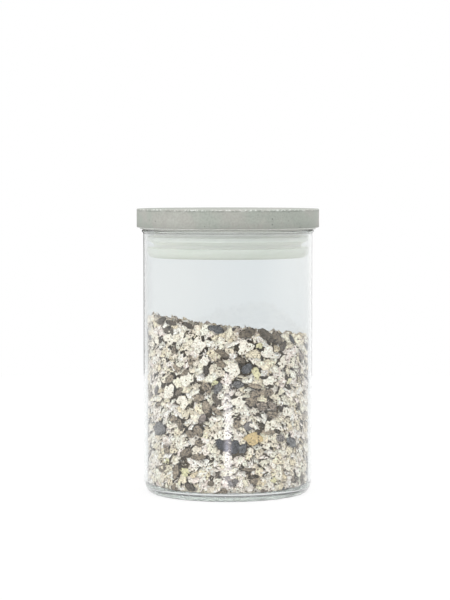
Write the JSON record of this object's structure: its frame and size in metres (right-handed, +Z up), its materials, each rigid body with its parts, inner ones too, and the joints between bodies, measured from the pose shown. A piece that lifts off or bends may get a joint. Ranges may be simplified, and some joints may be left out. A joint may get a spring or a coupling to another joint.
{
  "type": "glass storage jar",
  "caption": "Straight clear glass storage jar with a finned push-in stopper bonded under a cast concrete disc, part filled with dry rolled cereal.",
  "frame": {"origin": "middle of the base, on the surface that the jar stands on", "axes": "+Z up along the jar's axis; -Y faces the front of the picture and +X is to its right"},
  "size_m": [0.108, 0.108, 0.1681],
  "materials": {
    "clear_glass": "clear, blown and polished",
    "rolled_cereal": "dry, matt, flaky",
    "milky_plastic": "translucent white, moulded",
    "silicone_adhesive": "cured bead",
    "cast_concrete": "cast, matt, fine pores"
  },
  "bodies": {
    "jar": {"glass_jar": "clear_glass", "cereal_fill": "rolled_cereal"},
    "lid": {"stopper": "milky_plastic", "adhesive_ring": "silicone_adhesive", "concrete_disc": "cast_concrete"}
  },
  "joints": [
    {"name": "lid_lift", "type": "slide", "parent": "jar", "child": "lid", "axis": [0, 0, 1], "range_m": [0, 0.1]}
  ]
}
